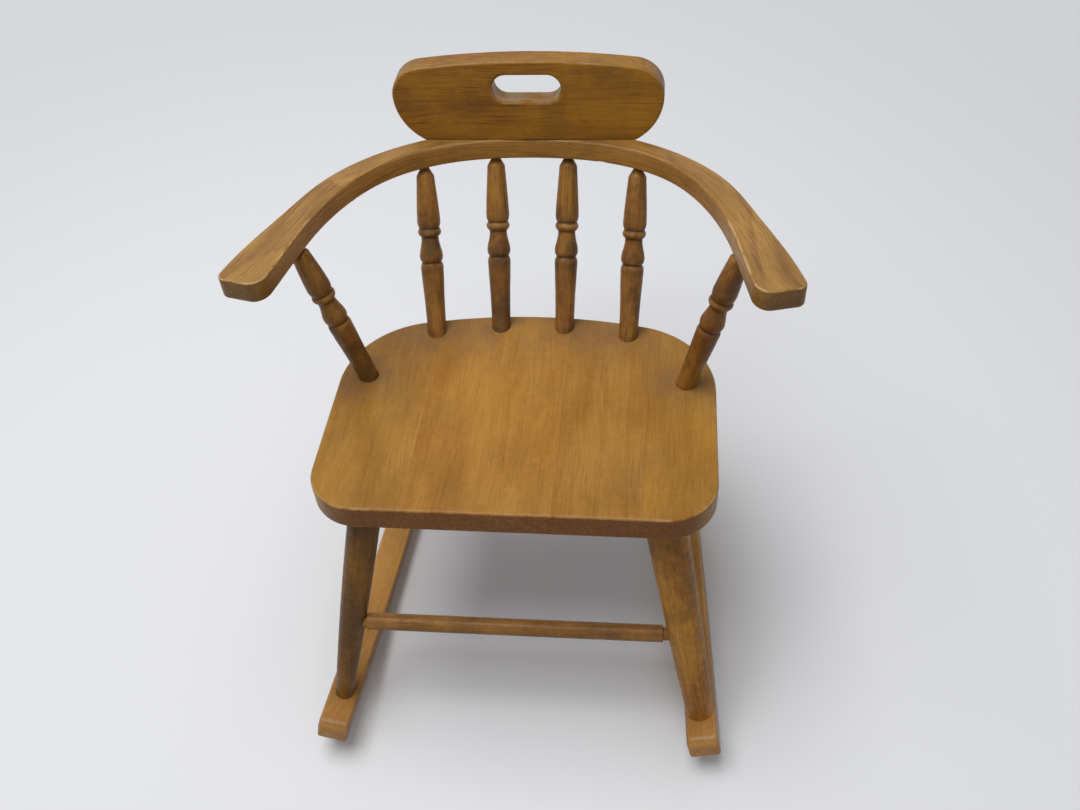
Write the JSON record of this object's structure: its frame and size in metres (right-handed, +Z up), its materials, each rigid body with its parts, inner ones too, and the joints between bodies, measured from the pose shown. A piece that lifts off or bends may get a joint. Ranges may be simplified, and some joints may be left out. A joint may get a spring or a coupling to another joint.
{
  "type": "hoop back rocking chair",
  "caption": "Child's wooden rocking chair with a bent bow for back and arms, a crest board with a hand slot, turned spindles, a glued plank seat, splayed tapered legs and rockers",
  "frame": {"origin": "on the floor under the middle of the chair: midway between the rockers and midway between their front and rear ends", "axes": "+Z is up; the chair faces -Y, so the crest is towards +Y; +X is to the right as seen from the front; the plane X = 0 is the middle plane of the chair"},
  "size_m": [0.538, 0.5736, 0.5714],
  "materials": {
    "seat_wood": "satin varnish",
    "bow_wood": "satin varnish",
    "crest_wood": "satin varnish",
    "spindle_wood": "satin varnish",
    "leg_wood": "satin varnish",
    "rocker_wood": "satin varnish",
    "dowel_wood": "bare"
  },
  "bodies": {
    "root": {"seat_board_1": "seat_wood", "seat_board_2": "seat_wood", "seat_board_3": "seat_wood", "seat_board_4": "seat_wood", "arm_bow": "bow_wood", "crest_rail": "crest_wood", "crest_dowels": "dowel_wood", "back_spindle_1": "spindle_wood", "back_spindle_2": "spindle_wood", "back_spindle_3": "spindle_wood", "back_spindle_4": "spindle_wood", "arm_spindle_left": "spindle_wood", "front_leg_left": "leg_wood", "rear_leg_left": "leg_wood", "rocker_left": "rocker_wood", "arm_spindle_right": "spindle_wood", "front_leg_right": "leg_wood", "rear_leg_right": "leg_wood", "rocker_right": "rocker_wood", "front_stretcher": "leg_wood", "rear_stretcher": "leg_wood"}
  },
  "joints": []
}
